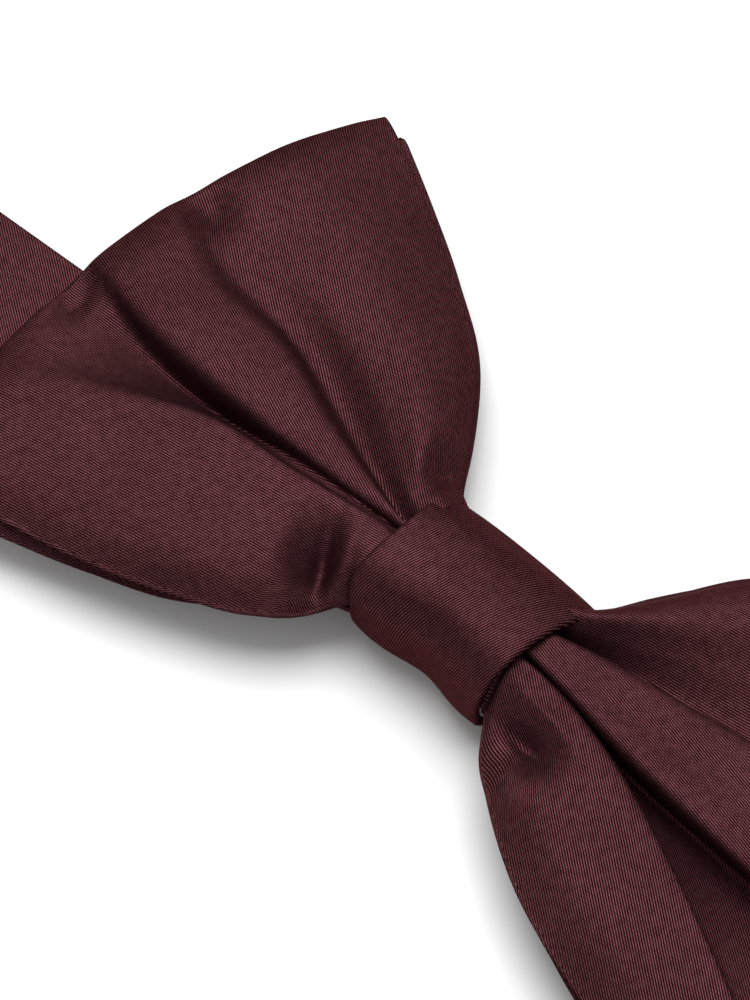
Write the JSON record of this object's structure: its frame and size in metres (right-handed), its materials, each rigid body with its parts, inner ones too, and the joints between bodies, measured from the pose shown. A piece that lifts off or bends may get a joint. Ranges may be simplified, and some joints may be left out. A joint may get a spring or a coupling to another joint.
{
  "type": "ready-tied bow tie",
  "caption": "Ready-tied satin bow tie: two pleated bows gathered under a wrapped knot, on a folded neck band with a slider, hook and eye.",
  "frame": {"origin": "on the table under the middle of the knot, with the bow lying on its back", "axes": "+X along the bow from the left wing to the right wing as seen from its face, +Y up its height, +Z out of its face"},
  "size_m": [0.2254, 0.0696, 0.016],
  "materials": {
    "satin": "dark wine satin with fine diagonal ribs",
    "interlining": "woven canvas",
    "thread": "sewing thread",
    "nickel": "bright nickel plate"
  },
  "bodies": {
    "centre": {"knot_band": "satin", "knot_interlining": "interlining", "knot_seam_stitches": "thread", "front_bow_gather": "satin", "back_bow_gather": "satin", "gather_thread": "thread", "neck_band_centre": "satin"},
    "left_wing": {"front_wing_left": "satin", "front_interlining_left": "interlining", "back_wing_left": "satin", "back_interlining_left": "interlining"},
    "right_wing": {"front_wing_right": "satin", "front_interlining_right": "interlining", "back_wing_right": "satin", "back_interlining_right": "interlining"},
    "left_band": {"neck_band_left": "satin", "neck_interlining_left": "interlining"},
    "left_tail": {"neck_band_left_fold": "satin", "neck_band_left_end": "satin", "left_end_stitches": "thread"},
    "eye": {"eye": "nickel"},
    "right_band": {"neck_band_right": "satin", "neck_interlining_right": "interlining"},
    "right_tail": {"neck_band_right_fold": "satin", "neck_band_right_end": "satin", "right_end_stitches": "thread", "adjuster_tape_single": "satin"},
    "slider": {"slider": "nickel", "slider_tape_loop": "satin", "adjuster_tape_over_slider": "satin", "adjuster_tape_double": "satin"},
    "hook_end": {"hook_tape_loop": "satin"},
    "hook": {"hook": "nickel"}
  },
  "joints": [
    {"name": "left_wing_flex", "type": "hinge", "parent": "centre", "child": "left_wing", "pos_m": [-0.01392, 0.00146, 0.011], "axis": [0.1045, 0.9945, 0], "range_deg": [0, 30], "stiffness_Nm_per_rad": 0.02},
    {"name": "right_wing_flex", "type": "hinge", "parent": "centre", "child": "right_wing", "pos_m": [0.01392, 0.00146, 0.011], "axis": [0.1045, -0.9945, 0], "range_deg": [0, 30], "stiffness_Nm_per_rad": 0.02},
    {"name": "left_band_swing", "type": "hinge", "parent": "centre", "child": "left_band", "pos_m": [-0.01875, -0.00131, 0.0044], "axis": [0.0698, -0.9976, 0], "range_deg": [0, 75]},
    {"name": "right_band_swing", "type": "hinge", "parent": "centre", "child": "right_band", "pos_m": [0.01875, 0.00131, 0.0044], "axis": [-0.0698, 0.9976, 0], "range_deg": [0, 75]},
    {"name": "left_band_unfold", "type": "hinge", "parent": "left_band", "child": "left_tail", "pos_m": [-0.10973, -0.00767, 0.00245], "axis": [-0.0698, 0.9976, 0], "range_deg": [0, 175], "deforming": ["neck_band_left_fold"]},
    {"name": "right_band_unfold", "type": "hinge", "parent": "right_band", "child": "right_tail", "pos_m": [0.10973, 0.00767, 0.00245], "axis": [0.0698, -0.9976, 0], "range_deg": [0, 175], "deforming": ["neck_band_right_fold"]},
    {"name": "eye_tilt", "type": "hinge", "parent": "left_tail", "child": "eye", "pos_m": [-0.04589, -0.00321, 0.00125], "axis": [-0.0698, 0.9976, 0], "range_deg": [0, 60]},
    {"name": "slider_slide", "type": "slide", "parent": "right_tail", "child": "slider", "axis": [-0.9976, -0.0698, 0], "range_m": [-0.018, 0.024], "deforming": ["adjuster_tape_single"]},
    {"name": "hook_follow", "type": "slide", "parent": "slider", "child": "hook_end", "axis": [-0.9976, -0.0698, 0], "range_m": [-0.012, 0.009], "deforming": ["adjuster_tape_double"]},
    {"name": "hook_tilt", "type": "hinge", "parent": "hook_end", "child": "hook", "pos_m": [0.04589, 0.00321, 0.00125], "axis": [0.0698, -0.9976, 0], "range_deg": [0, 60]}
  ],
  "couplings": [
    {"joint": "hook_follow", "follows": "slider_slide", "ratio": -0.5}
  ]
}
